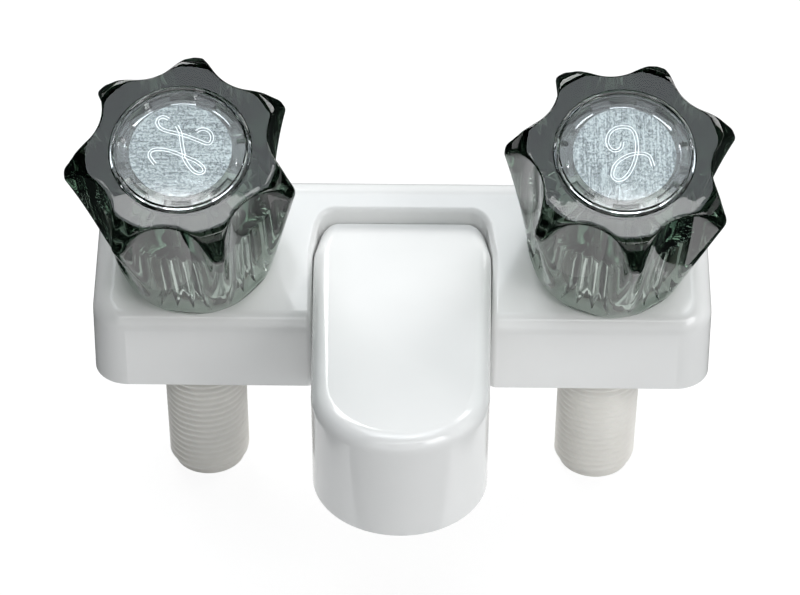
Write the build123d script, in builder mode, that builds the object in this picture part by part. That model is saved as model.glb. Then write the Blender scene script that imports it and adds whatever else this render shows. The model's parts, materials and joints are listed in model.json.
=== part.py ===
"""Two-handle basin tap on a 4 inch centre base, in millimetres.

The origin lies on the deck, midway between the two threaded shanks.
+X runs to the cold side, the spout points along -Y and +Z is up.
"""
from math import acos, atan2, cos, radians, sin, tan
import os

from build123d import *

# Base cover
cover_width = 153.4
cover_front = 22.8
cover_back = 17.4
front_height = 19.6
pad_tilt = 27.8
cover_draft = 1.8
cover_corner = 9.0
cover_wall = 2.4
cover_top_round = 5.5
slot_lip_round = 1.6
slot_back = 5.0
slot_gap = 0.2

# Base plate and its gasket
plate_thickness = 3.0
plate_gap = 0.3
gasket_thickness = 1.0
gasket_width = 3.8

# Shanks and waterway
shank_centres = 101.6
thread_diameter = 20.95
shank_length = 41.9
shank_bore = 10.0
shank_head = 13.0
shank_chamfer = 1.2
shank_end_ring = 18.4
shank_end_length = 1.5
shank_neck = 19.6
cross_tube = 10.0
cross_bore = 6.0
spigot_diameter = 9.0
spigot_length = 16.0
groove_setback = 4.0

# Valves, measured from the surface of the tilted pad along the stem
valve_up_slope = 21.1
barrel_diameter = 19.4
barrel_rise = 0.2
barrel_depth = 19.2
chamber_diameter = 14.0
chamber_depth = 17.5
port_depth = 11.5
neck_diameter = 16.0
neck_depth = 5.5
seat_diameter = 6.0
seat_bore = 3.2
seat_height = 3.0
seat_offset = 3.6
seat_pocket = 7.0
inlet_diameter = 4.0
spring_wire = 0.6
spring_turns = 2.5
spring_sides = 4

# Bonnet and stem
bonnet_flats = 20.0
bonnet_height = 4.0
bonnet_washer = 0.6
stem_diameter = 9.0
stem_waist = 7.2
rotor_thickness = 2.4
collar_thickness = 2.4
stem_top = 21.8
stem_flats = 6.4
stem_flats_from = 6.5
quarter_turn = 90.0
lug_angle = 20.0
lug_height = 1.8
ring_section = 1.05
ring_groove = 1.1
lug_radius = 6.6
rotor_hole = 4.2
groove_bottom = -3.4
washer_outer = 18.8

# Knobs
knob_gap = 1.2
knob_top = 50.0
knob_base_diameter = 40.0
knob_lobe_diameter = 55.2
knob_lobe_height = 44.0
knob_crown_diameter = 47.0
knob_lobes = 7
knob_valley_diameter = 40.4
flute_diameter = 23.0
flute_taper = 2.0
flute_foot = 4.0
hot_knob_turn = 33.4
cold_knob_turn = 17.9
shoulder_round = 3.0
crown_round = 4.4
knob_ribs = 28
rib_root_diameter = 34.8
rib_tip_diameter = 30.4
cavity_top = 30.0
cavity_mouth_diameter = 35.6
boss_diameter = 12.8
boss_bottom = 7.5
mouth_height = 5.0
screw_seat = 27.0

# Index buttons
index_diameter = 32.4
index_rise = 0.6
index_thickness = 1.8
index_pocket = 3.2
index_tabs = 8
tab_arc = 26.0
tab_outer = 29.4
tab_inner = 26.0
index_bevel = 0.4
index_groove = 30.4
groove_depth = 0.3
disc_diameter = 23.6
disc_thickness = 0.5

# Spout
spout_front_centre = 56.9
spout_front_radius = 20.7
spout_back_half = 22.0
spout_waist = -5.0
spout_waist_round = 12.0
spout_narrowing = 1.8
spout_back_corner = 4.4
spout_top = 29.7
spout_bottom = 1.2
spout_wall = 2.4
spout_top_round = 4.0
spout_tube_diameter = 12.0
spout_tube_bore = 8.0
nozzle_diameter = 23.0
nozzle_top = 13.0
nozzle_bottom = 3.6
socket_length = 10.0
cup_top = 11.0
spout_floor_thickness = 3.0
spout_screw_x = 13.5
spout_screw_y = 36.0

# Aerator
aerator_diameter = 20.0
aerator_flange = 24.0
aerator_bore = 16.0
aerator_height = 8.0
aerator_lip = 1.6
insert_height = 3.0
insert_holes = 8
insert_hole = 2.2
screen_thickness = 0.6
screen_pitch = 2.6
screen_rows = 4

# Screws
handle_screw_diameter = 3.8
handle_screw_head = 7.4
handle_screw_length = 16.0
base_screw_diameter = 3.2
base_screw_head = 6.0
base_screw_length = 9.0
base_head_height = 1.4
base_screw_x = 66.5
base_screw_y = 3.0
boss_radius = 3.2

# Clearances
moving_fit = 0.05
assembly_gap = 0.3

pad_slope = radians(pad_tilt)
pad_foot = (0, -cover_front + front_height * tan(radians(cover_draft)), front_height)
pad_normal = Vector(0, -sin(pad_slope), cos(pad_slope))
pad_uphill = Vector(0, cos(pad_slope), sin(pad_slope))
cover_limit = 2 * front_height + cover_back
slot_half = spout_back_half + slot_gap
thread_radius = thread_diameter / 2
plate_top = plate_thickness
floor_top = spout_bottom + 0.2 + spout_floor_thickness
valve_point = Vector(*pad_foot) + pad_uphill * valve_up_slope
port_point = valve_point - pad_normal * port_depth
pocket_point = valve_point - pad_normal * (chamber_depth + seat_pocket) - pad_uphill * seat_offset
bore_top = pocket_point.Z - seat_diameter / 2 * sin(pad_slope) - 1.0
bonnet_base = barrel_rise + bonnet_washer
rotor_bottom = -chamber_depth + 2 * moving_fit
seat_top = rotor_bottom - moving_fit
collar_top = -neck_depth - 2 * moving_fit
knob_sides = {"hot": (-1, hot_knob_turn), "cold": (1, cold_knob_turn)}


def valve_plane(side, height=0.0):
    """The plane square to one stem, at a height above its pad."""
    foot = valve_point + Vector(side * shank_centres / 2, 0, 0) + pad_normal * height
    return Plane(origin=foot, x_dir=(1, 0, 0), z_dir=pad_normal)


def profile_plane(plane):
    """The plane that holds a turned outline: radius to the right, height up."""
    return Plane(origin=plane.origin, x_dir=plane.x_dir, z_dir=plane.y_dir * -1)


def turned(plane, outline):
    """Spin an outline of radius and height points about the plane's normal."""
    with BuildPart() as piece:
        with BuildSketch(profile_plane(plane)):
            with BuildLine():
                Polyline(*outline, close=True)
            make_face()
        revolve(axis=Axis(plane.origin, plane.z_dir))
    return piece.part


def washer(plane, outer, inner, height):
    """A flat ring that stands on the plane."""
    with BuildPart() as piece:
        with BuildSketch(plane):
            Circle(outer)
            Circle(inner, mode=Mode.SUBTRACT)
        extrude(amount=height)
    return piece.part


def finish_piece(part, name):
    """Label a finished piece and write its file."""
    part.label = name
    export_step(part, f"parts/{name}.step")


def spout_side():
    """The right-hand side of the spout seen from above, from its waist to the round front."""
    reach = Vector(spout_back_half, spout_waist + spout_front_centre)
    spread = acos(spout_front_radius / reach.length) - atan2(reach.Y, reach.X)
    return [(spout_back_half, spout_waist),
            (spout_front_radius * cos(spread), -spout_front_centre - spout_front_radius * sin(spread))]


def cover_slot(inset):
    """The slot that the spout lies in, its walls moved outwards by the inset."""
    side = [(spout_back_half - spout_narrowing, slot_back - slot_gap)] + spout_side()
    with BuildPart() as slot:
        with BuildSketch(Plane.XY):
            with BuildLine():
                Polyline(*side, *[(-x, y) for x, y in reversed(side)], close=True)
            outline = make_face()
            rows = outline.vertices().group_by(Axis.Y)
            fillet(rows[-1], spout_back_corner)
            fillet(rows[1], spout_waist_round)
            offset(amount=slot_gap + inset)
        extrude(amount=cover_limit)
    return slot.part


def near_slot(edge):
    """True for an edge that borders the slot for the spout."""
    middle = edge.center()
    return abs(middle.X) <= slot_half + cover_wall + 0.01 and middle.Y < slot_back + cover_wall + 0.01


def cover_block(inset, lip_round):
    """The form of the cover, drawn in by the inset on every wall."""
    depth = cover_front + cover_back - 2 * inset
    with BuildPart() as block:
        with BuildSketch(Plane.XY):
            with Locations((0, (cover_back - cover_front) / 2)):
                RectangleRounded(cover_width - 2 * inset, depth, cover_corner - inset)
        extrude(amount=cover_limit, taper=cover_draft)
        pads = Plane(origin=Vector(*pad_foot) - pad_normal * inset, x_dir=(1, 0, 0), z_dir=pad_normal)
        split(bisect_by=pads, keep=Keep.BOTTOM)
        add(cover_slot(inset), mode=Mode.SUBTRACT)
        if inset:
            corner_angle = (90 - pad_tilt) / 2
            reach = cover_top_round / sin(radians(corner_angle)) - cover_top_round + inset
            ridge_y = cover_back
            ridge_z = front_height + (ridge_y - pad_foot[1]) * tan(pad_slope)
            lean = radians(90 - pad_tilt - corner_angle)
            across = Vector(0, cos(lean), sin(lean))
            split(bisect_by=Plane(origin=Vector(0, ridge_y, ridge_z) - across * reach, x_dir=(1, 0, 0),
                                  z_dir=across), keep=Keep.BOTTOM)
        if lip_round:
            crown = block.faces().sort_by(Axis.Z)[-1].edges()
            fillet([edge for edge in crown if not near_slot(edge)], cover_top_round)
            lean = Axis((0, 0, 0), (0, tan(radians(cover_draft)), 1))
            upright = block.edges().filter_by(near_slot).filter_by(lean, tolerance=2)
            pads_face = block.faces().filter_by(lambda face: face.normal_at().dot(pad_normal) > 0.9999)
            lip = pads_face.sort_by(Axis.Z)[-1].edges().filter_by(near_slot)
            fillet(list(upright.group_by(Axis.Y)[0]) + list(lip), lip_round)
    return block.part


def base_screw_spots():
    """Where the two base screws stand, seen from above."""
    return [(-base_screw_x, -base_screw_y), (base_screw_x, -base_screw_y)]


def cross_tube_way(reach):
    """The notch, open downwards, that lets a wall drop over the cross tube."""
    with BuildPart() as way:
        with BuildSketch(Plane.YZ):
            with Locations((port_point.Y, 0)):
                Rectangle(cross_tube + 4 * assembly_gap, port_point.Z, align=(Align.CENTER, Align.MIN))
            with Locations((port_point.Y, port_point.Z)):
                Circle(cross_tube / 2 + 2 * assembly_gap)
        extrude(amount=reach, both=True)
    return way.part


def build_cover():
    """The moulded shell with two tilted pads and the slot for the spout."""
    with BuildPart() as hollow:
        add(cover_block(cover_wall, 0.0))
        # The screw bosses hang from the pads
        with BuildSketch(Plane.XY):
            with Locations(*base_screw_spots()):
                Circle(boss_radius)
        extrude(amount=cover_limit, mode=Mode.SUBTRACT)
    with BuildPart() as cover:
        add(cover_block(0.0, slot_lip_round))
        add(hollow.part, mode=Mode.SUBTRACT)
        for side in (-1, 1):
            with BuildSketch(valve_plane(side, 1.0)):
                Circle(barrel_diameter / 2 + 2 * assembly_gap)
            extrude(amount=-3 * cover_wall, mode=Mode.SUBTRACT)
            # Below the pads the walls keep clear of the barrels
            with BuildSketch(valve_plane(side)):
                Circle(barrel_diameter / 2 + assembly_gap)
            extrude(amount=-barrel_depth - assembly_gap, mode=Mode.SUBTRACT)
        # The bosses and the walls beside the slot stand on the base plate
        with BuildSketch(Plane.XY):
            with Locations(*base_screw_spots()):
                Circle(boss_radius + 0.1)
            with Locations((0, slot_back + cover_wall + 0.1)):
                Rectangle(2 * (slot_half + cover_wall + 0.1), slot_back + cover_front,
                          align=(Align.CENTER, Align.MAX))
        extrude(amount=plate_top + assembly_gap, mode=Mode.SUBTRACT)
        with BuildSketch(Plane.XY):
            with Locations(*base_screw_spots()):
                Circle(base_screw_diameter / 2 + moving_fit)
        extrude(amount=plate_top + base_screw_length, mode=Mode.SUBTRACT)
        add(cross_tube_way(slot_half + 2 * cover_wall), mode=Mode.SUBTRACT)
    return cover.part


def build_base_plate():
    """The plate that closes the cover, with a rebate for the gasket."""
    inset = cover_wall + plate_gap
    middle = (cover_back - cover_front) / 2
    width, depth = cover_width - 2 * inset, cover_front + cover_back - 2 * inset
    corner = cover_corner - inset
    with BuildPart() as plate:
        with BuildSketch(Plane.XY):
            with Locations((0, middle)):
                RectangleRounded(width, depth, corner)
        extrude(amount=plate_thickness)
        with BuildSketch(Plane.XY):
            with Locations((0, middle)):
                RectangleRounded(width, depth, corner)
                RectangleRounded(width - 2 * gasket_width, depth - 2 * gasket_width, 1.0,
                                 mode=Mode.SUBTRACT)
        extrude(amount=gasket_thickness, mode=Mode.SUBTRACT)
        with Locations((-shank_centres / 2, 0, plate_thickness), (shank_centres / 2, 0, plate_thickness)):
            Hole(thread_radius + assembly_gap)
        for spot in base_screw_spots():
            with Locations(Plane.XY.rotated((180, 0, 0)).offset(0)):
                with Locations((spot[0], -spot[1])):
                    CounterBoreHole(base_screw_diameter / 2 + 0.2, base_screw_head / 2 + 0.2,
                                    base_head_height)
    with BuildPart() as gasket:
        with BuildSketch(Plane.XY):
            with Locations((0, middle)):
                RectangleRounded(width, depth, corner)
                RectangleRounded(width - 2 * gasket_width + 0.2, depth - 2 * gasket_width + 0.2, 1.0,
                                 mode=Mode.SUBTRACT)
        extrude(amount=gasket_thickness)
    return plate.part, gasket.part


def screw(plane, head, head_height, shank, length):
    """A pan head screw: the head stands on the plane and the shank hangs below it."""
    return turned(plane, [(0, -length), (shank / 2, -length), (shank / 2, 0), (head / 2, 0),
                          (head / 2, head_height), (0, head_height)])


def joined(pieces):
    """Several equal loose pieces kept together in one node."""
    return Compound(children=pieces) if len(pieces) > 1 else pieces[0]


def build_waterway():
    """One moulding: two shanks, two tilted valve barrels, the cross tube and the spigot."""
    with BuildPart() as body:
        for side in (-1, 1):
            axis_plane = Plane.XY.offset(0)
            axis_plane.origin = Vector(side * shank_centres / 2, 0, 0)
            add(turned(axis_plane, [(0, -shank_length), (shank_end_ring / 2, -shank_length),
                                    (shank_end_ring / 2, shank_end_length - shank_length),
                                    (thread_radius - shank_chamfer, shank_end_length - shank_length),
                                    (thread_radius, shank_end_length + shank_chamfer - shank_length),
                                    (thread_radius, 0), (shank_neck / 2, 0),
                                    (shank_neck / 2, shank_head), (0, shank_head)]))
            with BuildSketch(valve_plane(side, -barrel_depth)):
                Circle(barrel_diameter / 2)
            extrude(amount=barrel_depth + barrel_rise)
        with BuildSketch(Plane.YZ):
            with Locations((port_point.Y, port_point.Z)):
                Circle(cross_tube / 2)
        extrude(amount=shank_centres / 2, both=True)
        with BuildSketch(spigot_plane(0.0)):
            Circle(spigot_diameter / 2)
        extrude(amount=spigot_length)
        with BuildSketch(spigot_plane(spigot_length - groove_setback)):
            Circle(spigot_diameter / 2)
            Circle(spigot_diameter / 2 - ring_groove + moving_fit, mode=Mode.SUBTRACT)
        extrude(amount=ring_groove + 0.2, mode=Mode.SUBTRACT)
        # Water ways, cut through everything above
        for side in (-1, 1):
            with BuildSketch(valve_plane(side, -chamber_depth)):
                Circle(chamber_diameter / 2)
            extrude(amount=chamber_depth + 2, mode=Mode.SUBTRACT)
            with BuildSketch(valve_plane(side, -neck_depth)):
                Circle(neck_diameter / 2)
            extrude(amount=neck_depth + 2, mode=Mode.SUBTRACT)
            with BuildSketch(valve_plane(side, -chamber_depth)):
                with Locations((0, -seat_offset)):
                    Circle(seat_diameter / 2 + moving_fit)
            extrude(amount=-seat_pocket, mode=Mode.SUBTRACT)
            with BuildSketch(valve_plane(side, -chamber_depth)):
                with Locations((0, -seat_offset)):
                    Circle(inlet_diameter / 2)
            extrude(amount=-seat_pocket - 5.0, mode=Mode.SUBTRACT)
            with BuildSketch(Plane.XY.offset(-shank_length)):
                with Locations((side * shank_centres / 2, 0)):
                    Circle(shank_bore / 2)
            extrude(amount=shank_length + bore_top, mode=Mode.SUBTRACT)
        with BuildSketch(Plane.YZ):
            with Locations((port_point.Y, port_point.Z)):
                Circle(cross_bore / 2)
        extrude(amount=shank_centres / 2, both=True, mode=Mode.SUBTRACT)
        with BuildSketch(spigot_plane(0.0)):
            Circle(cross_bore / 2)
        extrude(amount=spigot_length, mode=Mode.SUBTRACT)
    return body.part


def spigot_plane(ahead):
    """The plane square to the forward spigot, at a distance ahead of the cross tube."""
    return Plane(origin=(0, port_point.Y - ahead, port_point.Z), x_dir=(1, 0, 0), z_dir=(0, -1, 0))


def ring_sector(plane, outer, inner, start, sweep, height):
    """A block between two radii over part of a turn."""
    with BuildPart() as block:
        with BuildSketch(plane):
            with BuildLine():
                far = CenterArc((0, 0), outer, start, sweep)
                near = CenterArc((0, 0), inner, start, sweep)
                Line(far @ 0, near @ 0)
                Line(far @ 1, near @ 1)
            make_face()
        extrude(amount=height)
    return block.part


def build_seat(side):
    """The rubber seat that seals against the rotor."""
    plane = valve_plane(side, seat_top - seat_height)
    plane.origin = plane.origin - plane.y_dir * seat_offset
    return washer(plane, seat_diameter / 2, seat_bore / 2, seat_height)


def build_seat_spring(side):
    """The small coil spring that lifts the seat."""
    plane = valve_plane(side, -chamber_depth - seat_pocket + spring_wire / 2)
    plane.origin = plane.origin - plane.y_dir * seat_offset
    height = seat_pocket + chamber_depth + seat_top - seat_height - spring_wire
    radius = seat_diameter / 2 - spring_wire / 2 - 0.1
    with BuildPart() as spring:
        with BuildLine() as coil:
            Helix(pitch=height / spring_turns, height=height, radius=radius, center=plane.origin,
                  direction=plane.z_dir)
        with BuildSketch(Plane(origin=coil.line @ 0, z_dir=coil.line % 0)):
            RegularPolygon(spring_wire / 2, spring_sides)
        sweep(path=coil.line, is_frenet=True)
    return spring.part


def build_bonnet(side):
    """The hexagon nut that holds the stem, with the slot that stops its lug."""
    with BuildPart() as nut:
        with BuildSketch(valve_plane(side, bonnet_base)):
            RegularPolygon(bonnet_flats / 2, 6, major_radius=False)
        extrude(amount=bonnet_height)
        chamfer(nut.faces().sort_by(Axis.Z)[-1].edges(), 0.6)
        with BuildSketch(valve_plane(side, moving_fit - neck_depth)):
            Circle(neck_diameter / 2 - moving_fit)
        extrude(amount=bonnet_base + neck_depth - moving_fit)
        with BuildSketch(valve_plane(side, -neck_depth)):
            Circle(stem_diameter / 2 + moving_fit)
        extrude(amount=2 * neck_depth + bonnet_height, mode=Mode.SUBTRACT)
        start = -lug_angle / 2 - 1 if side < 0 else -quarter_turn - lug_angle / 2 - 1
        add(ring_sector(valve_plane(side, -neck_depth), lug_radius + 0.2, stem_diameter / 2 - 0.1,
                        start, quarter_turn + lug_angle + 2, lug_height + 0.3), mode=Mode.SUBTRACT)
    return nut.part


def build_stem(side):
    """The quarter-turn stem: a rotor over the seat, a collar with a stop lug and a flatted end."""
    rotor, shaft, waist = chamber_diameter / 2 - moving_fit, stem_diameter / 2, stem_waist / 2
    groove = shaft - ring_groove + moving_fit
    hole_angle = radians(270 + side * quarter_turn)
    with BuildPart() as stem:
        add(turned(valve_plane(side), [
            (0, rotor_bottom), (rotor, rotor_bottom), (rotor, rotor_bottom + rotor_thickness),
            (waist, rotor_bottom + rotor_thickness), (waist, collar_top - collar_thickness),
            (rotor, collar_top - collar_thickness), (rotor, collar_top), (shaft, collar_top),
            (shaft, groove_bottom), (groove, groove_bottom), (groove, groove_bottom + ring_groove + 0.2),
            (shaft, groove_bottom + ring_groove + 0.2), (shaft, stem_top), (0, stem_top)]))
        add(ring_sector(valve_plane(side, collar_top - 0.1), lug_radius, shaft - 0.5,
                        -lug_angle / 2, lug_angle, lug_height + 0.1))
        with BuildSketch(valve_plane(side, rotor_bottom)):
            with Locations((seat_offset * cos(hole_angle), seat_offset * sin(hole_angle))):
                Circle(rotor_hole / 2)
        extrude(amount=rotor_thickness, mode=Mode.SUBTRACT)
        with BuildSketch(valve_plane(side, stem_flats_from)):
            Circle(stem_diameter)
            Rectangle(stem_flats, 3 * stem_diameter, mode=Mode.SUBTRACT)
        extrude(amount=stem_top, mode=Mode.SUBTRACT)
        with BuildSketch(valve_plane(side, stem_top)):
            Circle(handle_screw_diameter / 2 + moving_fit)
        extrude(amount=screw_seat - handle_screw_length - stem_top - 0.5, mode=Mode.SUBTRACT)
    return stem.part


def o_ring(plane, inner, section):
    """A rubber ring centred on the plane, its section a hexagon."""
    corners = [radians(60 * step) for step in range(6)]
    reach = section / 2 / cos(radians(30))
    return turned(plane, [(inner + section / 2 + reach * sin(turn), reach * cos(turn))
                          for turn in corners])


def build_knob(side, turn):
    """The clear moulded knob: seven finger flutes outside, upright ribs inside."""
    base, lobe, crown = knob_base_diameter / 2, knob_lobe_diameter / 2, knob_crown_diameter / 2
    axis = Axis(valve_plane(side).origin, pad_normal)
    cavity_height = cavity_top - knob_gap
    with BuildPart() as knob:
        with BuildSketch(profile_plane(valve_plane(side))):
            with BuildLine():
                Polyline((0, knob_gap), (base, knob_gap), (lobe, knob_lobe_height), (crown, knob_top),
                         (0, knob_top), close=True)
            outline = make_face()
            corners = outline.vertices().group_by(Axis.X)
            fillet(corners[-1], shoulder_round)
            fillet(corners[-2], crown_round)
        revolve(axis=axis)
        # Finger flutes, wider and deeper towards the foot, which stays round
        with BuildSketch(valve_plane(side, knob_top)):
            with PolarLocations((knob_valley_diameter + flute_diameter) / 2, knob_lobes,
                                start_angle=turn + 180 / knob_lobes):
                Circle(flute_diameter / 2)
        extrude(amount=flute_foot - knob_top, taper=-flute_taper, mode=Mode.SUBTRACT)
        # Ribbed cavity round a boss
        with BuildSketch(valve_plane(side, knob_gap)):
            with BuildLine():
                Polyline(*rib_outline(turn), close=True)
            make_face()
            Circle(boss_diameter / 2, mode=Mode.SUBTRACT)
        extrude(amount=cavity_height, mode=Mode.SUBTRACT)
        add(turned(valve_plane(side, knob_gap), [
            (boss_diameter / 2, 0), (cavity_mouth_diameter / 2, 0), (rib_tip_diameter / 2, mouth_height),
            (boss_diameter / 2, mouth_height)]), mode=Mode.SUBTRACT)
        with BuildSketch(valve_plane(side)):
            Circle(boss_diameter)
        extrude(amount=boss_bottom, mode=Mode.SUBTRACT)
        # Socket for the stem, screw hole, counterbore and the pocket for the index button
        with BuildSketch(valve_plane(side)):
            Circle(stem_diameter / 2 + moving_fit)
            with Locations((stem_flats / 2 + moving_fit, 0)):
                Rectangle(stem_diameter, 2 * stem_diameter, align=(Align.MIN, Align.CENTER),
                          mode=Mode.SUBTRACT)
            with Locations((-stem_flats / 2 - moving_fit, 0)):
                Rectangle(stem_diameter, 2 * stem_diameter, align=(Align.MAX, Align.CENTER),
                          mode=Mode.SUBTRACT)
        extrude(amount=stem_top + 0.2, mode=Mode.SUBTRACT)
        with BuildSketch(valve_plane(side)):
            Circle(handle_screw_diameter / 2 + 0.2)
        extrude(amount=screw_seat, mode=Mode.SUBTRACT)
        with BuildSketch(valve_plane(side, screw_seat)):
            Circle(handle_screw_head / 2 + assembly_gap)
        extrude(amount=knob_top, mode=Mode.SUBTRACT)
        with BuildSketch(valve_plane(side, knob_top - index_pocket)):
            Circle(index_diameter / 2 + 0.1)
        extrude(amount=knob_top, mode=Mode.SUBTRACT)
    return knob.part


def rib_outline(turn):
    """The star that the cavity wall follows: one root and one tip to each rib."""
    outline = []
    for step in range(2 * knob_ribs):
        radius = (rib_root_diameter if step % 2 else rib_tip_diameter) / 2
        angle = radians(turn + step * 180 / knob_ribs)
        outline.append((radius * cos(angle), radius * sin(angle)))
    return outline


def build_index_button(side):
    """The clear snap-in button: a disc with a ring groove and a ring of tabs below."""
    top = knob_top + index_rise
    rim, groove = index_diameter / 2, index_groove / 2
    with BuildPart() as button:
        add(turned(valve_plane(side), [
            (0, top - index_thickness), (rim, top - index_thickness), (rim, top - index_bevel),
            (rim - index_bevel, top), (groove + groove_depth, top), (groove, top - groove_depth),
            (groove - groove_depth, top), (0, top)]))
        for tab in range(index_tabs):
            start = tab * 360 / index_tabs - tab_arc / 2
            add(ring_sector(valve_plane(side, knob_top - index_pocket + 0.1), tab_outer / 2, tab_inner / 2,
                            start, tab_arc, index_pocket + index_rise - index_thickness))
    return button.part


def spout_block(inset, bottom, top):
    """A prism on the plan of the spout: a half round front, spreading sides and a narrower back."""
    waist, tangent = spout_side()
    back = (spout_back_half - spout_narrowing, slot_back - slot_gap)
    mirrored = [(-x, y) for x, y in (back, waist, tangent)]
    with BuildPart() as block:
        with BuildSketch(Plane.XY.offset(bottom)) as plan:
            with BuildLine():
                Polyline(mirrored[2], mirrored[1], mirrored[0], back, waist, tangent)
                ThreePointArc(tangent, (0, -spout_front_centre - spout_front_radius), mirrored[2])
            make_face()
            # Two cuts in turn make each back corner three short flats
            for share in (0.63, 0.25):
                corners = plan.vertices().filter_by(lambda corner: corner.Y > spout_waist + 0.1)
                chamfer(corners, share * spout_back_corner)
            fillet(plan.vertices().group_by(Axis.Y)[1], spout_waist_round)
            if inset:
                offset(amount=-inset)
        extrude(amount=top - bottom)
    return block.part


def spout_screw_spots():
    """Where the two screws of the spout floor stand, seen from above."""
    return [(-spout_screw_x, -spout_screw_y), (spout_screw_x, -spout_screw_y)]


def build_spout_shell():
    """The open-bottomed moulding that makes the spout's top and sides."""
    with BuildPart() as inside:
        add(spout_block(spout_wall, spout_bottom, spout_top - spout_wall))
        with BuildSketch(Plane.XY):
            with Locations(*spout_screw_spots()):
                Circle(boss_radius)
        extrude(amount=cover_limit, mode=Mode.SUBTRACT)
    with BuildPart() as shell:
        add(spout_block(0.0, spout_bottom, spout_top))
        crown = shell.faces().sort_by(Axis.Z)[-1].edges()
        fillet(crown.filter_by(lambda edge: edge.center().Y < spout_waist), spout_top_round)
        add(inside.part, mode=Mode.SUBTRACT)
        with BuildSketch(Plane.XY):
            with Locations(*spout_screw_spots()):
                Circle(boss_radius + 0.1)
        extrude(amount=floor_top + 0.1, mode=Mode.SUBTRACT)
        with BuildSketch(Plane.XY):
            with Locations(*spout_screw_spots()):
                Circle(base_screw_diameter / 2 + moving_fit)
        extrude(amount=floor_top + base_screw_length, mode=Mode.SUBTRACT)
        # Over the base the walls stand on the base plate
        with BuildSketch(Plane.XY):
            with Locations((0, assembly_gap - cover_front)):
                Rectangle(cover_width, cover_front + slot_back, align=(Align.CENTER, Align.MIN))
        extrude(amount=plate_top + assembly_gap, mode=Mode.SUBTRACT)
        add(cross_tube_way(slot_half + 2 * cover_wall), mode=Mode.SUBTRACT)
    return shell.part


def build_spout_floor():
    """The plate that closes the spout from below, with the outlet hole."""
    with BuildPart() as floor:
        add(spout_block(spout_wall + plate_gap, spout_bottom + 0.2, floor_top))
        with BuildSketch(Plane.XY):
            with Locations((0, -cover_front + cover_wall - assembly_gap)):
                Rectangle(cover_width, cover_front + slot_back, align=(Align.CENTER, Align.MIN))
        extrude(amount=cover_limit, mode=Mode.SUBTRACT)
        with Locations((0, -spout_front_centre, floor_top)):
            Hole(aerator_flange / 2 + assembly_gap)
        for x, y in spout_screw_spots():
            with Locations(Plane.XY.rotated((180, 0, 0)).offset(-spout_bottom - 0.2)):
                with Locations((x, -y)):
                    CounterBoreHole(base_screw_diameter / 2 + 0.2, base_screw_head / 2 + 0.2,
                                    base_head_height)
    return floor.part


def build_spout_tube():
    """The water tube: a socket on the spigot, a straight run and the nozzle cup."""
    tube, bore = spout_tube_diameter / 2, spout_tube_bore / 2
    cup_x, cup_y = 0, -spout_front_centre
    run = port_point.Y + spout_front_centre
    socket_start = spigot_length - socket_length
    with BuildPart() as pipe:
        with BuildSketch(spigot_plane(socket_start)):
            Circle(tube + 0.8)
        extrude(amount=socket_length + 2)
        with BuildSketch(spigot_plane(socket_start)):
            Circle(tube)
        extrude(amount=run - socket_start)
        with BuildSketch(Plane.XY.offset(nozzle_bottom)):
            with Locations((cup_x, cup_y)):
                Circle(nozzle_diameter / 2)
        extrude(amount=nozzle_top - nozzle_bottom)
        with BuildSketch(Plane.XY.offset(nozzle_top - 1)):
            with Locations((cup_x, cup_y)):
                Circle(tube + 1)
        extrude(amount=port_point.Z + tube - nozzle_top + 1)
        # Bores
        with BuildSketch(spigot_plane(socket_start)):
            Circle(spigot_diameter / 2 + moving_fit)
        extrude(amount=socket_length + 0.3, mode=Mode.SUBTRACT)
        with BuildSketch(spigot_plane(spigot_length)):
            Circle(bore)
        extrude(amount=run - spigot_length, mode=Mode.SUBTRACT)
        with BuildSketch(Plane.XY.offset(nozzle_top - 3)):
            with Locations((cup_x, cup_y)):
                Circle(bore)
        extrude(amount=port_point.Z - nozzle_top + 3, mode=Mode.SUBTRACT)
        with BuildSketch(Plane.XY.offset(nozzle_bottom)):
            with Locations((cup_x, cup_y)):
                Circle(aerator_diameter / 2 + moving_fit)
        extrude(amount=cup_top - nozzle_bottom, mode=Mode.SUBTRACT)
    return pipe.part


def aerator_plane(height):
    """The level plane centred on the outlet."""
    return Plane(origin=(0, -spout_front_centre, height), x_dir=(1, 0, 0), z_dir=(0, 0, 1))


def build_aerator():
    """The outlet: a flanged housing, a sealing washer, a drilled insert and a screen."""
    outer, bore, lip = aerator_diameter / 2, aerator_bore / 2, aerator_bore / 2 - 1.2
    bottom, shoulder = spout_bottom, nozzle_bottom - 0.1
    housing = turned(aerator_plane(0), [
        (lip, bottom), (aerator_flange / 2, bottom), (aerator_flange / 2, shoulder),
        (outer, shoulder), (outer, bottom + aerator_height), (bore, bottom + aerator_height),
        (bore, bottom + aerator_lip), (lip, bottom + aerator_lip)])
    seal = washer(aerator_plane(bottom + aerator_height), outer, bore - 1.5,
                  cup_top - bottom - aerator_height)
    with BuildPart() as insert:
        with BuildSketch(aerator_plane(bottom + aerator_height - insert_height)):
            Circle(bore - moving_fit)
            with PolarLocations(bore * 0.6, insert_holes):
                Rectangle(insert_hole, insert_hole, mode=Mode.SUBTRACT)
        extrude(amount=insert_height)
    with BuildPart() as mesh:
        with BuildSketch(aerator_plane(bottom + aerator_lip)):
            Circle(bore - moving_fit)
            with GridLocations(screen_pitch, screen_pitch, screen_rows, screen_rows):
                Rectangle(screen_pitch * 0.6, screen_pitch * 0.6, mode=Mode.SUBTRACT)
        extrude(amount=screen_thickness)
    return housing, seal, insert.part, mesh.part


os.makedirs("parts", exist_ok=True)

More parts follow.
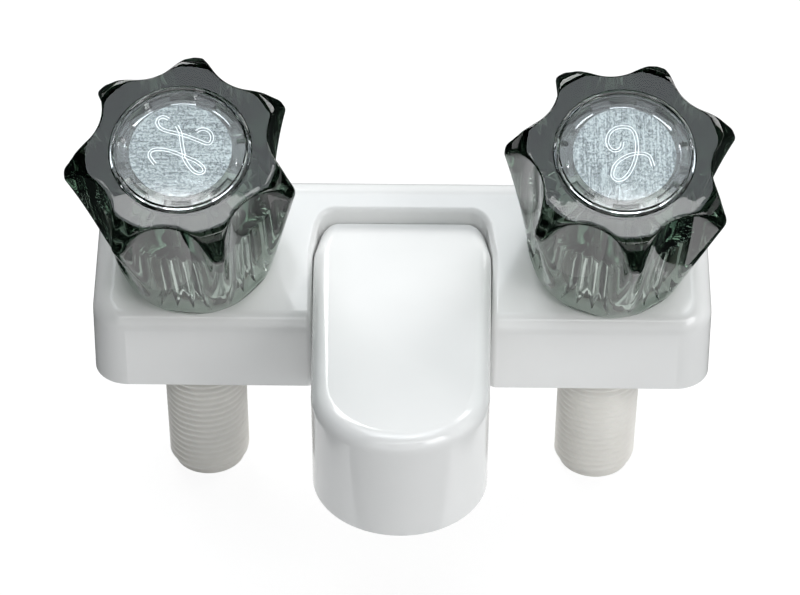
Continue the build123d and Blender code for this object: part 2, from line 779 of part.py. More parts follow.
finish_piece(build_cover(), "cover")
base_plate, deck_gasket = build_base_plate()
finish_piece(base_plate, "base_plate")
finish_piece(deck_gasket, "deck_gasket")
finish_piece(build_waterway(), "waterway")
finish_piece(build_spout_shell(), "spout_shell")
finish_piece(build_spout_floor(), "spout_floor")
finish_piece(build_spout_tube(), "spout_tube")
finish_piece(o_ring(spigot_plane(spigot_length - groove_setback + ring_groove / 2 + 0.1),
                    spigot_diameter / 2 - ring_groove + moving_fit, ring_section), "spout_seal")
housing, aerator_seal, insert, screen = build_aerator()
finish_piece(housing, "aerator_housing")
finish_piece(aerator_seal, "aerator_washer")
finish_piece(insert, "aerator_insert")
finish_piece(screen, "aerator_screen")

base_screws = [screw(Plane(origin=(x, y, base_head_height), x_dir=(1, 0, 0), z_dir=(0, 0, -1)),
                     base_screw_head, base_head_height - 0.1, base_screw_diameter, base_screw_length)
               for x, y in base_screw_spots()]
finish_piece(joined(base_screws), "base_screws")
floor_screws = [screw(Plane(origin=(x, y, spout_bottom + 0.2 + base_head_height), x_dir=(1, 0, 0),
                            z_dir=(0, 0, -1)),
                      base_screw_head, base_head_height - 0.1, base_screw_diameter, base_screw_length)
                for x, y in spout_screw_spots()]
finish_piece(joined(floor_screws), "spout_screws")

for name, (side, turn) in knob_sides.items():
    finish_piece(build_seat_spring(side), f"{name}_seat_spring")
    finish_piece(build_seat(side), f"{name}_seat")
    finish_piece(washer(valve_plane(side, barrel_rise), washer_outer / 2, neck_diameter / 2 + moving_fit,
                        bonnet_washer), f"{name}_bonnet_washer")
    finish_piece(build_bonnet(side), f"{name}_bonnet_nut")
    finish_piece(build_stem(side), f"{name}_stem")
    finish_piece(o_ring(valve_plane(side, groove_bottom + ring_groove / 2 + 0.1),
                        stem_diameter / 2 - ring_groove + moving_fit, ring_section), f"{name}_stem_ring")
    finish_piece(build_knob(side, turn), f"{name}_knob")
    finish_piece(screw(valve_plane(side, screw_seat), handle_screw_head, 2.6, handle_screw_diameter,
                       handle_screw_length), f"{name}_handle_screw")
    button_bottom = knob_top + index_rise - index_thickness
    finish_piece(build_index_button(side), f"{name}_index_button")
    finish_piece(turned(valve_plane(side, button_bottom - 0.1), [
        (0, 0), (disc_diameter / 2, 0), (disc_diameter / 2, -disc_thickness), (0, -disc_thickness)]),
        f"{name}_index_disc")
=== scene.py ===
"""The basin tap's looks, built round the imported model. Lengths are in millimetres until they meet MM."""
import json
from math import asin, ceil, cos, pi, radians, sin, sqrt, tan

import bmesh
import bpy
from mathutils import Matrix, Vector


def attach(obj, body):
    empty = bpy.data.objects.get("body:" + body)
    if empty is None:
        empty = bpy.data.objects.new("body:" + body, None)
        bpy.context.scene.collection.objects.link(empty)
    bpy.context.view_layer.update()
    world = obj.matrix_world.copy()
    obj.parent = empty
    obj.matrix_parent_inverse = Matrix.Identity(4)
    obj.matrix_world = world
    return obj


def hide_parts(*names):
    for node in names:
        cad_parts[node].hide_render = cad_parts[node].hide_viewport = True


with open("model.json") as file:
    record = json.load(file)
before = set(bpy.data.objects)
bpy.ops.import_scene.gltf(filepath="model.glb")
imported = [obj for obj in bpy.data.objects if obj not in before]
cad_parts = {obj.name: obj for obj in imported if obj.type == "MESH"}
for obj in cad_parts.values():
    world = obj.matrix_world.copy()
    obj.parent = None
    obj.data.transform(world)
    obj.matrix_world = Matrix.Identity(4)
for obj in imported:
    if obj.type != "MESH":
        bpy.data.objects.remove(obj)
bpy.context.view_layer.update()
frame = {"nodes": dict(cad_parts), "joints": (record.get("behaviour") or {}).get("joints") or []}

MM = 0.001

# Camera, fitted to the two shanks, the cover and the index rings
photo_width = 800
focal_pixels = 2500.0
sensor_width = 36.0
camera_distance = 631.45
camera_pitch = 37.995
camera_yaw = 0.448
camera_roll = 0.219
camera_target = (-0.626, 0.0, 10.215)

# Shanks
shank_centres = 101.6
thread_radius = 10.475
thread_pitch = 25.4 / 14
thread_depth = 0.45
thread_rings_per_pitch = 8
shank_foot = -41.9
shank_end_height = 1.5
shank_end_radius = 9.2
shank_chamfer = 1.2
shank_bore = 5.0
shank_top = -0.05
shank_neck_inset = 0.3
bore_edge = 0.4
end_edge = 0.2
crest_width = 0.8
shank_sides = 96

# Knobs, measured from the pad along the stem
knob_gap = 1.2
knob_top = 50.0
knob_base = 20.0
knob_lobe = 27.6
knob_lobe_height = 44.0
knob_crown = 23.5
crown_round = 3.0
base_round = 0.6
crown_edge_round = 4.4
flute_edge_round = 0.5
lobes = 7
flute_valley = 20.2
flute_radius = 11.5
foot_flute_valley = 18.6
foot_flute_radius = 21.5
flute_foot = 3.0
flute_run_out = 3.0
ridge_blend = 1.2
ribs = 28
rib_root = 17.4
rib_tip = 14.7
rib_arch = 0.6
cavity_top = 30.0
mouth_radius = 17.8
mouth_height = 10.0
boss_radius = 6.4
boss_bottom = 7.5
socket_radius = 4.55
socket_flat = 3.25
socket_top = 22.0
screw_hole = 2.1
screw_seat = 27.0
counterbore = 4.0
pocket_radius = 16.3
pocket_floor = 46.8
pocket_edge = 0.15
knob_turns = {"hot": 33.4, "cold": 17.9}
steps_per_rib = 18
lobe_steps = 34
shoulder_steps = 8
crown_steps = 10
search_from = 10.0
search_halvings = 18

# Heights over an edge at which a wall gets one more ring, so that it shades evenly
pocket_ring = 1.5
bore_ring = 8.0
boss_ring = 6.0
mouth_ring = 1.5

# Index letters
letter_line = 0.1
letter_half_gap = 0.34
disc_top = 48.7
letter_h = [[(-3.1, 8.0), (-4.1, 8.8), (-5.4, 8.4), (-5.8, 7.2), (-5.3, 6.1), (-4.4, 5.3),
             (-2.4, 4.7), (-0.2, 4.2), (1.8, 3.5), (4.4, 2.4), (6.2, 1.6), (7.0, 2.2),
             (7.2, 3.6), (6.5, 5.0), (5.2, 5.6), (4.2, 5.5), (3.4, 4.9)],
            [(-1.2, 6.4), (-0.5, 5.3), (-0.1, 4.1), (0.1, 2.4), (0.5, 0.4), (0.9, -1.4)],
            [(-5.6, -3.6), (-6.7, -2.3), (-7.2, -1.0), (-6.6, 0.0), (-5.2, 0.3), (-3.0, 0.1),
             (-0.4, -0.9), (1.6, -1.8), (3.6, -2.7), (5.2, -3.9), (5.8, -5.1), (5.1, -6.0),
             (3.6, -5.7), (2.2, -4.2), (1.2, -2.6), (0.6, -1.4)]]
letter_c = [[(-0.4, 3.1), (-0.5, 1.9), (-1.4, 0.9), (-2.7, 0.8), (-3.7, 1.9), (-4.0, 3.5),
             (-3.4, 5.5), (-1.9, 6.8), (0.0, 7.1), (1.6, 6.8), (2.5, 5.4), (2.9, 3.4),
             (2.9, 1.0), (2.6, -0.7), (1.9, -3.0), (0.7, -5.3), (-0.6, -6.6), (-2.1, -6.8),
             (-3.0, -5.7), (-2.8, -3.9), (-1.8, -2.1), (0.0, -0.7), (1.9, 0.1), (3.7, 0.3),
             (5.2, 0.0), (6.1, -1.1), (6.4, -3.0)]]

# Widths of the patterns in the finishes
flow_marks = 18.0
casting_swirl = 5.0
foil_line_width = 0.3
foil_line_length = 9.0
foil_mottle = 0.5
turning_marks = 0.4

# The set, in metres, with lamp power in watts
floor_half = 12.0
floor_glow = 0.9
room_light = 0.38
card_lift = 0.002
card_top = 0.36
card_reach = 2.0
ceiling_height = 1.4
lit_left, lit_right = -0.085, 0.085
lit_front, lit_back = -0.1, 0.03
lamps = {"top_box": ((0.0, -0.05, 0.95), 0.8, 0.5, 3.25, "#ECF3F8"),
         "left_box": ((-0.4, 0.85, 0.9), 0.5, 0.7, 7.0, "#FFFFFF"),
         "right_box": ((0.75, 0.65, 0.9), 0.5, 0.7, 6.5, "#FFFFFF"),
         "front_box": ((0.6, -0.65, 0.5), 0.4, 0.4, 2.2, "#FFFFFF"),
         "front_strip": ((0.15, -0.75, 0.75), 1.3, 0.1, 1.8, "#FFFFFF")}
glints = {"hot_glint": (-0.13, -0.094), "cold_glint": (0.121, -0.094)}
glint_height = 0.9
glint_size = (0.17, 0.08)
glint_power = 0.19


def linear(code):
    """An sRGB hex colour as linear red, green, blue and alpha."""
    shares = [int(code[start:start + 2], 16) / 255 for start in (1, 3, 5)]
    return tuple(s / 12.92 if s <= 0.04045 else ((s + 0.055) / 1.055) ** 2.4 for s in shares) + (1.0,)


def add_node(tree, kind, sockets=None, **settings):
    """Add one node. A socket takes a value, or the output socket that feeds it."""
    node = tree.nodes.new(kind)
    for name, value in settings.items():
        setattr(node, name, value)
    for name, value in (sockets or {}).items():
        if isinstance(value, bpy.types.NodeSocket):
            tree.links.new(value, node.inputs[name])
        else:
            node.inputs[name].default_value = value
    return node


def new_object(name, data):
    """An object in the scene that holds the data."""
    made = bpy.data.objects.new(name, data)
    bpy.context.scene.collection.objects.link(made)
    return made


def new_material(name):
    """An empty node material and its tree."""
    material = bpy.data.materials.new(name)
    material.use_nodes = True
    material.node_tree.nodes.clear()
    return material, material.node_tree


def moulded_plastic(name, pale, deep, roughness, ior, grain_mm, grain_height_mm, coat=0.0):
    """Injection-moulded plastic: a faint flow pattern in the colour and an orange-peel skin."""
    material, tree = new_material(name)
    place = add_node(tree, "ShaderNodeTexCoord").outputs["Object"]
    flow = add_node(tree, "ShaderNodeTexNoise", {"Vector": place, "Scale": 1 / (flow_marks * MM),
                                                 "Detail": 3.0})
    grain = add_node(tree, "ShaderNodeTexNoise", {"Vector": place, "Scale": 1 / (grain_mm * MM),
                                                  "Detail": 4.0})
    colour = add_node(tree, "ShaderNodeMix", {"Factor": flow.outputs["Fac"], "A": linear(deep),
                                              "B": linear(pale)}, data_type="RGBA")
    gloss = add_node(tree, "ShaderNodeMapRange", {
        "Value": grain.outputs["Fac"], "To Min": roughness * 0.8, "To Max": roughness * 1.25})
    skin = add_node(tree, "ShaderNodeBump", {"Height": grain.outputs["Fac"], "Strength": 1.0,
                                             "Distance": grain_height_mm * MM})
    shader = add_node(tree, "ShaderNodeBsdfPrincipled", {
        "Base Color": colour.outputs["Result"], "Roughness": gloss.outputs["Result"], "IOR": ior,
        "Normal": skin.outputs["Normal"], "Coat Weight": coat, "Coat Roughness": 0.05})
    add_node(tree, "ShaderNodeOutputMaterial", {"Surface": shader.outputs["BSDF"]})
    return material


def clear_plastic(name, tint, passed, shade, density, roughness, ior):
    """Cast acrylic: it lets lamp light through, tinted, and darkens with its thickness."""
    material, tree = new_material(name)
    place = add_node(tree, "ShaderNodeTexCoord").outputs["Object"]
    swirl = add_node(tree, "ShaderNodeTexNoise", {"Vector": place, "Scale": 1 / (casting_swirl * MM),
                                                  "Detail": 2.0})
    gloss = add_node(tree, "ShaderNodeMapRange", {
        "Value": swirl.outputs["Fac"], "To Min": roughness * 0.6, "To Max": roughness * 1.5})
    skin = add_node(tree, "ShaderNodeBump", {"Height": swirl.outputs["Fac"], "Strength": 0.25,
                                             "Distance": 0.05 * MM})
    shader = add_node(tree, "ShaderNodeBsdfPrincipled", {
        "Base Color": linear(tint), "Roughness": gloss.outputs["Result"], "IOR": ior,
        "Normal": skin.outputs["Normal"], "Transmission Weight": 1.0})
    passing = add_node(tree, "ShaderNodeBsdfTransparent", {"Color": linear(passed)})
    path = add_node(tree, "ShaderNodeLightPath")
    mixed = add_node(tree, "ShaderNodeMixShader", {
        0: path.outputs["Is Shadow Ray"], 1: shader.outputs["BSDF"], 2: passing.outputs["BSDF"]})
    depth = add_node(tree, "ShaderNodeVolumeAbsorption", {"Color": linear(shade), "Density": density})
    add_node(tree, "ShaderNodeOutputMaterial", {"Surface": mixed.outputs["Shader"],
                                                "Volume": depth.outputs["Volume"]})
    return material


def brushed_foil(name, slope, along_x):
    """Aluminium foil brushed one way: long fine lines in its gloss and in its relief."""
    material, tree = new_material(name)
    place = add_node(tree, "ShaderNodeTexCoord").outputs["Object"]
    flat = add_node(tree, "ShaderNodeMapping", {"Vector": place, "Rotation": (-slope, 0, 0)})
    fine, long = 1 / (foil_line_width * MM), 1 / (foil_line_length * MM)
    lines = add_node(tree, "ShaderNodeVectorMath", {
        0: flat.outputs["Vector"], 1: (long, fine, long) if along_x else (fine, long, long)},
        operation="MULTIPLY")
    grain = add_node(tree, "ShaderNodeTexNoise", {"Vector": lines.outputs["Vector"], "Scale": 1.0,
                                                  "Detail": 5.0, "Roughness": 0.7})
    mottle = add_node(tree, "ShaderNodeTexNoise", {"Vector": place, "Scale": 1 / (foil_mottle * MM),
                                                   "Detail": 3.0})
    mix = add_node(tree, "ShaderNodeMath", {0: grain.outputs["Fac"], 1: mottle.outputs["Fac"]},
                   operation="ADD")
    colour = add_node(tree, "ShaderNodeMapRange", {"Value": mix.outputs["Value"], "From Min": 0.86,
                                                   "From Max": 1.14, "To Min": 0.0, "To Max": 1.0})
    tone = add_node(tree, "ShaderNodeMix", {"Factor": colour.outputs["Result"], "A": linear("#3C4446"),
                                            "B": linear("#A7AEAE")}, data_type="RGBA")
    gloss = add_node(tree, "ShaderNodeMapRange", {"Value": grain.outputs["Fac"], "To Min": 0.4,
                                                  "To Max": 0.6})
    relief = add_node(tree, "ShaderNodeBump", {"Height": mix.outputs["Value"], "Strength": 0.7,
                                               "Distance": 0.03 * MM})
    shader = add_node(tree, "ShaderNodeBsdfPrincipled", {
        "Base Color": tone.outputs["Result"], "Metallic": 1.0, "Roughness": gloss.outputs["Result"],
        "Normal": relief.outputs["Normal"]})
    add_node(tree, "ShaderNodeOutputMaterial", {"Surface": shader.outputs["BSDF"]})
    return material


def drawn_steel(name, colour, roughness):
    """Stainless steel as screws and springs have it: fine turning marks in its gloss."""
    material, tree = new_material(name)
    place = add_node(tree, "ShaderNodeTexCoord").outputs["Object"]
    marks = add_node(tree, "ShaderNodeTexNoise", {"Vector": place, "Scale": 1 / (turning_marks * MM),
                                                  "Detail": 4.0})
    gloss = add_node(tree, "ShaderNodeMapRange", {
        "Value": marks.outputs["Fac"], "To Min": roughness * 0.7, "To Max": roughness * 1.4})
    shader = add_node(tree, "ShaderNodeBsdfPrincipled", {
        "Base Color": linear(colour), "Metallic": 1.0, "Roughness": gloss.outputs["Result"]})
    add_node(tree, "ShaderNodeOutputMaterial", {"Surface": shader.outputs["BSDF"]})
    return material


def grid_piece(name, rings, material, plane, closed):
    """A mesh from rings of (radius, angle, height) points, joined round and, if closed, end to end."""
    count = len(rings[0])
    points = [plane @ Vector((r * cos(turn), r * sin(turn), h)) for ring in rings for r, turn, h in ring]
    faces = []
    for row in range(len(rings) if closed else len(rings) - 1):
        low, high = row * count, (row + 1) % len(rings) * count
        for step in range(count):
            following = (step + 1) % count
            faces.append((low + step, low + following, high + following, high + step))
    mesh = bpy.data.meshes.new(name)
    mesh.from_pydata([tuple(point) for point in points], [], faces)
    mesh.materials.append(material)
    shape = bmesh.new()
    shape.from_mesh(mesh)
    bmesh.ops.recalc_face_normals(shape, faces=shape.faces)
    shape.to_mesh(mesh)
    shape.free()
    mesh.shade_smooth()
    mesh.set_sharp_from_angle(angle=radians(32))
    return new_object(name, mesh)


def handle_plane(joint):
    """From millimetres on one pad, with its third axis along the stem, to the frame in metres."""
    normal = Vector(joint["axis"]).normalized()
    across = Vector((1, 0, 0))
    uphill = normal.cross(across)
    turn = Matrix((across, uphill, normal)).transposed().to_4x4()
    return Matrix.Translation(joint["pos_m"]) @ turn @ Matrix.Scale(MM, 4)


def ridge_profile():
    """The outline of a lobe from the foot to the crown, as (radius, height) points."""
    foot, shoulder = Vector((knob_base, knob_gap)), Vector((knob_lobe, knob_lobe_height))
    crown = Vector((knob_crown, knob_top))
    down, up = (foot - shoulder).normalized(), (crown - shoulder).normalized()
    half = down.angle(up) / 2
    centre = shoulder + (down + up).normalized() * (crown_round / sin(half))
    start, end = shoulder + down * (crown_round / tan(half)), shoulder + up * (crown_round / tan(half))
    points = [foot + Vector((-base_round * (1 - sin(t)), base_round * (1 - cos(t))))
              for t in (0, pi / 4, pi / 2)]
    points += [points[-1].lerp(start, step / lobe_steps) for step in range(1, lobe_steps)]
    sweep = (start - centre).angle(end - centre)
    points += [centre + Matrix.Rotation(sweep * step / shoulder_steps, 2) @ (start - centre)
               for step in range(shoulder_steps + 1)]
    turn = up.angle(Vector((-1, 0)))
    reach = crown_edge_round * tan(turn / 2)
    last, flat = crown - up * reach, crown - Vector((reach, 0))
    middle = flat - Vector((0, crown_edge_round))
    points.append(end.lerp(last, 0.5))
    points += [middle + Matrix.Rotation(turn * step / crown_steps, 2) @ (last - middle)
               for step in range(crown_steps + 1)]
    return points


def lobe_radius(angle, ridge, valley, hollow):
    """How far the fluted outline reaches at an angle from a flute's middle, by halving."""
    axis = valley + hollow

    def outside(radius):
        """Above zero outside the outline, whose corners are blended."""
        away = sqrt(radius ** 2 + axis ** 2 - 2 * radius * axis * cos(angle))
        first, second = radius - ridge, hollow - away
        overlap = max(ridge_blend - abs(first - second), 0) / ridge_blend
        return max(first, second) + overlap ** 2 * ridge_blend / 4

    low, high = search_from, ridge + 0.01
    for _ in range(search_halvings):
        middle = (low + high) / 2
        low, high = (low, middle) if outside(middle) > 0 else (middle, high)
    return low


def build_knob(name, joint, turn, material):
    """One clear knob: lobes and flutes outside, a ribbed cavity, boss, socket and pocket inside."""
    steps = ribs * steps_per_rib
    angles = [2 * pi * step / steps for step in range(steps)]
    sector = 2 * pi / lobes
    start = radians(turn)
    outline = ridge_profile()

    def around(radius_at, height):
        """One ring, its radius a number or worked out from the angle."""
        return [(radius_at(angle) if callable(radius_at) else radius_at, angle + start, height)
                for angle in angles]

    def fluted(ridge, height):
        """The outline where the ridge has that radius. Downwards the flutes grow shallow and wide."""
        known = {}
        above = max(height - knob_top + flute_edge_round, 0)
        rounding = flute_edge_round - sqrt(max(flute_edge_round ** 2 - above ** 2, 0))
        share = min(max((height - flute_foot) / flute_run_out, 0), 1)
        fall = 1 - height / knob_top
        valley = flute_valley - rounding - (
            (flute_valley - foot_flute_valley) * fall * share * share * (3 - 2 * share))
        hollow = flute_radius + rounding + (foot_flute_radius - flute_radius) * fall

        def radius_at(angle):
            off = abs((angle % sector) - sector / 2)
            key = round(off, 5)
            if key not in known:
                known[key] = lobe_radius(off, ridge, valley, hollow)
            return known[key]
        return radius_at

    def ribbed(height):
        """V grooves between sharp ribs, arched at the top and pointed where the mouth cuts them."""
        fade = max(height - (cavity_top - rib_arch), 0) / rib_arch
        depth = (rib_root - rib_tip) * sqrt(max(1 - fade ** 2, 0))
        cone = mouth_radius - (mouth_radius - rib_tip) * (height - knob_gap) / mouth_height
        return lambda angle: max(rib_tip + depth * (1 - abs(1 - angle * ribs / pi % 2)), cone)

    def flatted(angle):
        """The socket's two flats."""
        return min(socket_radius, socket_flat / max(abs(cos(angle + start)), 0.01))

    rings = [around(fluted(*point), point[1]) for point in outline]
    rim = fluted(*outline[-1])
    pocket_mouth = pocket_radius + pocket_edge
    for share in (0.3, 0.6, 0.9):
        rings.append(around(lambda angle: rim(angle) * (1 - share) + pocket_mouth * share, knob_top))
    rings += [around(radius, height) for radius, height in (
        (pocket_mouth, knob_top), (pocket_radius, knob_top - pocket_edge),
        (pocket_radius, pocket_floor + pocket_ring), (pocket_radius, pocket_floor),
        ((pocket_radius + counterbore) / 2, pocket_floor), (counterbore, pocket_floor),
        (counterbore, screw_seat + bore_ring), (counterbore, screw_seat),
        (screw_hole, screw_seat), (screw_hole, socket_top),
        (flatted, socket_top), (flatted, boss_bottom + boss_ring), (flatted, boss_bottom),
        (boss_radius, boss_bottom), (boss_radius, boss_bottom + boss_ring), (boss_radius, cavity_top))]
    straight_top, straight_foot = cavity_top - rib_arch, mouth_height + mouth_ring
    cavity = [cavity_top - rib_arch * step / 5 for step in range(6)]
    cavity += [straight_foot + step * (straight_top - straight_foot) / 4 for step in (3, 2, 1)]
    cavity += [knob_gap + mouth_height * (1 - step / 8) for step in range(9)]
    rings += [around(ribbed(height), height) for height in cavity]
    return grid_piece(name, rings, material, handle_plane(joint), closed=True)


def build_shank(name, side, material):
    """One threaded shank: a single-start thread, a chamfer, a short plain end and the bore."""
    centre = Matrix.Translation((side * shank_centres / 2 * MM, 0, 0)) @ Matrix.Scale(MM, 4)
    angles = [2 * pi * step / shank_sides for step in range(shank_sides)]
    thread_foot = shank_foot + shank_end_height
    count = ceil(-thread_foot / thread_pitch * thread_rings_per_pitch)

    def level(radius, height):
        """One round ring."""
        return [(radius, angle, height) for angle in angles]

    rings = [level(radius, height) for radius, height in (
        (shank_bore, shank_top), (shank_bore, shank_foot / 2), (shank_bore, shank_foot + bore_edge),
        (shank_bore + bore_edge, shank_foot), (shank_end_radius - end_edge, shank_foot),
        (shank_end_radius, shank_foot + end_edge), (shank_end_radius, thread_foot))]
    for ring in range(count + 1):
        height = thread_foot * (1 - ring / count)
        reach = min(thread_radius, thread_radius - shank_chamfer + height - thread_foot)
        points = []
        for angle in angles:
            turn = (height / thread_pitch - angle / (2 * pi)) * 2 * pi
            crest = ((1 + cos(turn)) / 2) ** crest_width
            points.append((min(thread_radius - thread_depth * (1 - crest), reach), angle, height))
        rings.append(points)
    rings.append(level(thread_radius - thread_depth - shank_neck_inset, shank_top))
    return grid_piece(name, rings, material, centre, closed=True)


def copy_above(node, name, height):
    """A copy of a CAD node's mesh, cut off below a height."""
    mesh = node.data.copy()
    mesh.name = name
    shape = bmesh.new()
    shape.from_mesh(mesh)
    bmesh.ops.remove_doubles(shape, verts=shape.verts, dist=0.001 * MM)
    parts = list(shape.verts) + list(shape.edges) + list(shape.faces)
    cut = bmesh.ops.bisect_plane(shape, geom=parts, plane_co=(0, 0, height * MM), plane_no=(0, 0, 1),
                                 clear_inner=True)
    edges = [item for item in cut["geom_cut"] if isinstance(item, bmesh.types.BMEdge)]
    bmesh.ops.triangle_fill(shape, edges=edges, use_beauty=True)
    shape.to_mesh(mesh)
    shape.free()
    return new_object(name, mesh)


def build_letter(name, joint, strokes, material):
    """A script letter on the disc: each stroke is a pair of fine raised lines."""
    curve = bpy.data.curves.new(name, "CURVE")
    curve.dimensions = "3D"
    curve.bevel_depth = letter_line
    curve.bevel_resolution = 2
    curve.resolution_u = 6
    for stroke in strokes:
        path = [Vector(point) for point in stroke]
        for side in (-1, 1):
            line = curve.splines.new("NURBS")
            line.points.add(len(path) - 1)
            for step, point in enumerate(path):
                run = path[min(step + 1, len(path) - 1)] - path[max(step - 1, 0)]
                aside = Vector((-run.y, run.x)).normalized() * letter_half_gap * side
                line.points[step].co = (*(point + aside), 0, 1)
            line.order_u = 3
            line.use_endpoint_u = True
    sample = new_object(name + "_line", curve)
    bpy.context.view_layer.update()
    mesh = bpy.data.meshes.new_from_object(sample.evaluated_get(bpy.context.evaluated_depsgraph_get()))
    bpy.data.objects.remove(sample)
    mesh.name = name
    flatten = Matrix.Diagonal((1, 1, 0.5, 1))
    mesh.transform(handle_plane(joint) @ Matrix.Translation((0, 0, disc_top)) @ flatten)
    mesh.materials.clear()
    mesh.materials.append(material)
    mesh.shade_smooth()
    return new_object(name, mesh)


def paint(node, material):
    """Give a CAD node one material."""
    piece = frame["nodes"][node]
    if not piece.data.materials:
        piece.data.materials.append(None)
    for slot in piece.material_slots:
        slot.material = material


joints = {joint["child"]: joint for joint in frame["joints"]}
pad_slope = -asin(joints["hot_handle"]["axis"][1])

# Gloss white ABS, moulded: bright, with a hardly visible orange-peel skin
white_abs = moulded_plastic("gloss_white_ABS", "#F2F2F1", "#ECECEB", 0.14, 1.54, 3.0, 0.004, coat=0.15)
# Acetal, moulded: a little yellow and waxy
acetal = moulded_plastic("moulded_acetal", "#F5F3EE", "#ECE9E2", 0.38, 1.48, 0.6, 0.03)
# Polypropylene with a spark-eroded matt skin
grey_plate = moulded_plastic("matt_polypropylene", "#C9C9C7", "#BDBDBB", 0.55, 1.49, 0.35, 0.04)
# Closed-cell foam: dull, with open cells on its cut faces
foam = moulded_plastic("closed_cell_foam", "#2E2E2F", "#1D1D1E", 0.9, 1.45, 0.8, 0.25)
# Nitrile rubber: dark and soft
rubber = moulded_plastic("nitrile_rubber", "#242424", "#161616", 0.6, 1.52, 0.5, 0.03)
# Smoked acrylic: green-grey, darker the thicker it is
smoked_acrylic = clear_plastic("smoked_acrylic", "#F2F5F3", "#AEB6B0", "#4C8060", 78.0, 0.01, 1.49)
# Clear acrylic, hardly tinted
clear_acrylic = clear_plastic("clear_acrylic", "#FAFCFD", "#F0F4F5", "#D5E0E2", 8.0, 0.04, 1.49)
# White stamping ink: a flat, even film, drawn wider than the real lines so that it shows
white_ink = moulded_plastic("white_stamping_ink", "#FFFFFF", "#F6F6F6", 0.45, 1.5, 0.3, 0.004)
# Grey acetal for the nuts that hold the valves, a colour such nuts have, made this dark as painted shade:
# seen through the ribs, it stands in for the shade inside each knob's cavity
grey_acetal_and_cavity_shade = moulded_plastic("moulded_grey_acetal_with_painted_cavity_shade", "#77746C", "#66635C", 0.4, 1.48, 0.6, 0.03)
# Stainless steel, turned: silvery, with soft highlights
steel = drawn_steel("stainless_steel", "#C6C8CA", 0.32)
# Spring wire, drawn: a shade darker and duller
spring_steel = drawn_steel("drawn_spring_wire", "#A9ACAF", 0.38)
# Brushed aluminium foil: pale lines one way, drawn coarser than the real ones so that they show
foil_across = brushed_foil("brushed_foil_across", pad_slope, True)
foil_upright = brushed_foil("brushed_foil_upright", pad_slope, False)

paint_list = {"cover": white_abs, "spout_shell": white_abs, "spout_floor": white_abs,
              "base_plate": grey_plate, "deck_gasket": foam, "spout_tube": acetal,
              "spout_seal": rubber, "aerator_housing": acetal, "aerator_washer": rubber,
              "aerator_insert": acetal, "aerator_screen": steel, "base_screws": steel,
              "spout_screws": steel, "hot_index_disc": foil_across, "cold_index_disc": foil_upright}
for side in ("hot", "cold"):
    paint_list.update({f"{side}_seat_spring": spring_steel, f"{side}_seat": rubber,
                       f"{side}_bonnet_washer": rubber, f"{side}_bonnet_nut": grey_acetal_and_cavity_shade,
                       f"{side}_stem": acetal, f"{side}_stem_ring": rubber,
                       f"{side}_handle_screw": steel, f"{side}_index_button": clear_acrylic})
for node, material in paint_list.items():
    paint(node, material)

for side, letter in (("hot", letter_h), ("cold", letter_c)):
    body = f"{side}_handle"
    knob = build_knob(f"{side}_clear_knob", joints[body], knob_turns[side], smoked_acrylic)
    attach(knob, body)
    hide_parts(f"{side}_knob")
    mark = build_letter(f"{side}_letter", joints[body], letter, white_ink)
    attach(mark, body)

valve_body = copy_above(frame["nodes"]["waterway"], "valve_body", shank_top)
valve_body.data.materials.clear()
valve_body.data.materials.append(acetal)
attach(valve_body, "root")
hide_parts("waterway")
for name, side in (("hot_shank", -1), ("cold_shank", 1)):
    shank = build_shank(name, side, acetal)
    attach(shank, "root")
    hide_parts("waterway")


def place_camera():
    """The camera of the photograph."""
    pitch, yaw, roll = radians(camera_pitch), radians(camera_yaw), radians(camera_roll)
    back = Vector((sin(yaw) * cos(pitch), -cos(yaw) * cos(pitch), sin(pitch)))
    right = Vector((cos(yaw), sin(yaw), 0))
    up = back.cross(right)
    across = right * cos(roll) + up * sin(roll)
    upward = up * cos(roll) - right * sin(roll)
    data = bpy.data.cameras.new("camera")
    data.sensor_width = sensor_width
    data.lens = focal_pixels / photo_width * sensor_width
    data.clip_start = 0.01
    turn = Matrix((across, upward, back)).transposed().to_4x4()
    place = (Vector(camera_target) + back * camera_distance) * MM
    camera = new_object("camera", data)
    camera.matrix_world = Matrix.Translation(place) @ turn
    bpy.context.scene.camera = camera


def area_lamp(name, place, width, height, power, tint="#FFFFFF", target=(0, 0, 0), shape="RECTANGLE"):
    """A soft box that looks at a point."""
    data = bpy.data.lights.new(name, "AREA")
    data.color = linear(tint)[:3]
    data.shape = shape
    data.size, data.size_y = width, height
    data.energy = power
    lamp = new_object(name, data)
    lamp.location = place
    lamp.rotation_euler = (Vector(target) - Vector(place)).to_track_quat("-Z", "Y").to_euler()


def seen_directly(tree):
    """One where a ray comes from the camera, or by way of gloss or glass."""
    path = add_node(tree, "ShaderNodeLightPath")
    gloss = add_node(tree, "ShaderNodeMath", {0: path.outputs["Is Camera Ray"],
                                              1: path.outputs["Is Glossy Ray"]}, operation="MAXIMUM")
    glass = add_node(tree, "ShaderNodeMath", {0: gloss.outputs["Value"],
                                              1: path.outputs["Is Transmission Ray"]},
                     operation="MAXIMUM")
    return glass.outputs["Value"]


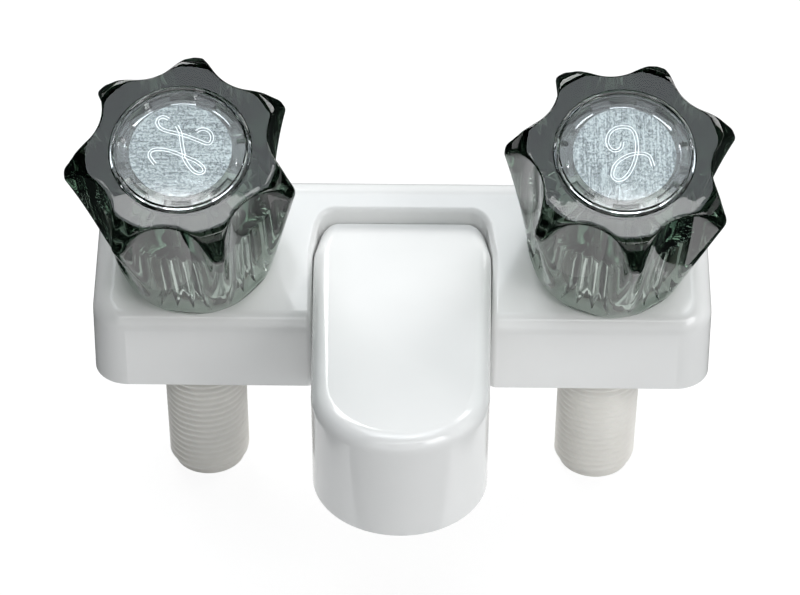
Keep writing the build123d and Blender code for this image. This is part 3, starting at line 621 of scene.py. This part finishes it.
def build_floor():
    """A pale floor under the shanks that shows white and keeps a soft shadow."""
    mesh = bpy.data.meshes.new("floor")
    half, low = floor_half, shank_foot * MM
    mesh.from_pydata([(-half, -half, low), (half, -half, low), (half, half, low), (-half, half, low)],
                     [], [(0, 1, 2, 3)])
    floor = new_object("floor", mesh)
    material, tree = new_material("white_sweep")
    dull = add_node(tree, "ShaderNodeBsdfDiffuse", {"Color": linear("#F0F0F0")})
    catch = add_node(tree, "ShaderNodeBsdfDiffuse", {"Color": linear("#707070")})
    glow = add_node(tree, "ShaderNodeEmission", {"Color": linear("#FFFFFF"), "Strength": floor_glow})
    bright = add_node(tree, "ShaderNodeAddShader", {0: catch.outputs["BSDF"],
                                                    1: glow.outputs["Emission"]})
    both = add_node(tree, "ShaderNodeMixShader", {0: seen_directly(tree), 1: dull.outputs["BSDF"],
                                                  2: bright.outputs["Shader"]})
    add_node(tree, "ShaderNodeOutputMaterial", {"Surface": both.outputs["Shader"]})
    mesh.materials.append(material)


def build_cards():
    """Dark cards that only gloss and glass show, for the contrast in clear edges.

    They stand round the set and cover the floor, but for a lit patch under the tap.
    """
    material, tree = new_material("black_card")
    dull = add_node(tree, "ShaderNodeBsdfDiffuse", {"Color": linear("#1C1F1E")})
    add_node(tree, "ShaderNodeOutputMaterial", {"Surface": dull.outputs["BSDF"]})
    low, far = shank_foot * MM + card_lift, card_reach

    def level(x_low, x_high, y_low, y_high, height=low):
        """The corners of a lying card."""
        return [(x_low, y_low, height), (x_high, y_low, height), (x_high, y_high, height),
                (x_low, y_high, height)]

    def upright(start, end):
        """The corners of a standing card between two places."""
        return [(*start, low), (*end, low), (*end, card_top), (*start, card_top)]

    corners = {"back_card": upright((-0.45, 0.5), (0.6, 0.5)),
               "left_card": upright((-0.25, -0.4), (-0.25, 0.15)),
               "right_card": upright((0.6, 0.5), (0.6, 0.0)),
               "front_floor_card": level(-far, far, -far, lit_front),
               "back_floor_card": level(-far, far, lit_back, far),
               "left_floor_card": level(-far, lit_left, lit_front, lit_back),
               "right_floor_card": level(lit_right, far, lit_front, lit_back),
               "ceiling_card": level(-far, far, -far, far, ceiling_height)}
    for name, points in corners.items():
        mesh = bpy.data.meshes.new(name)
        mesh.from_pydata(points, [], [(0, 1, 2, 3)])
        mesh.materials.append(material)
        card = new_object(name, mesh)
        card.visible_camera = card.visible_shadow = False
        # The left card alone also shades that side of the white plastic
        card.visible_diffuse = name == "left_card"


def build_world():
    """White where it is seen, a plain grey room as light."""
    world = bpy.data.worlds.new("room")
    world.use_nodes = True
    tree = world.node_tree
    tree.nodes.clear()
    white = add_node(tree, "ShaderNodeBackground", {"Color": linear("#FFFFFF"), "Strength": 1.0})
    room = add_node(tree, "ShaderNodeBackground", {"Color": linear("#BFC2C4"),
                                                    "Strength": room_light})
    both = add_node(tree, "ShaderNodeMixShader", {0: seen_directly(tree), 1: room.outputs["Background"],
                                                  2: white.outputs["Background"]})
    add_node(tree, "ShaderNodeOutputWorld", {"Surface": both.outputs["Shader"]})
    bpy.context.scene.world = world


place_camera()
build_floor()
build_cards()
build_world()
for name, lamp in lamps.items():
    area_lamp(name, *lamp)
# Small boxes that the lower rim of each knob's crown mirrors to the front
for name, (x, y) in glints.items():
    area_lamp(name, (x, y, glint_height), *glint_size, glint_power, target=(x, y, 0), shape="ELLIPSE")
bpy.context.scene.view_settings.view_transform = "Standard"
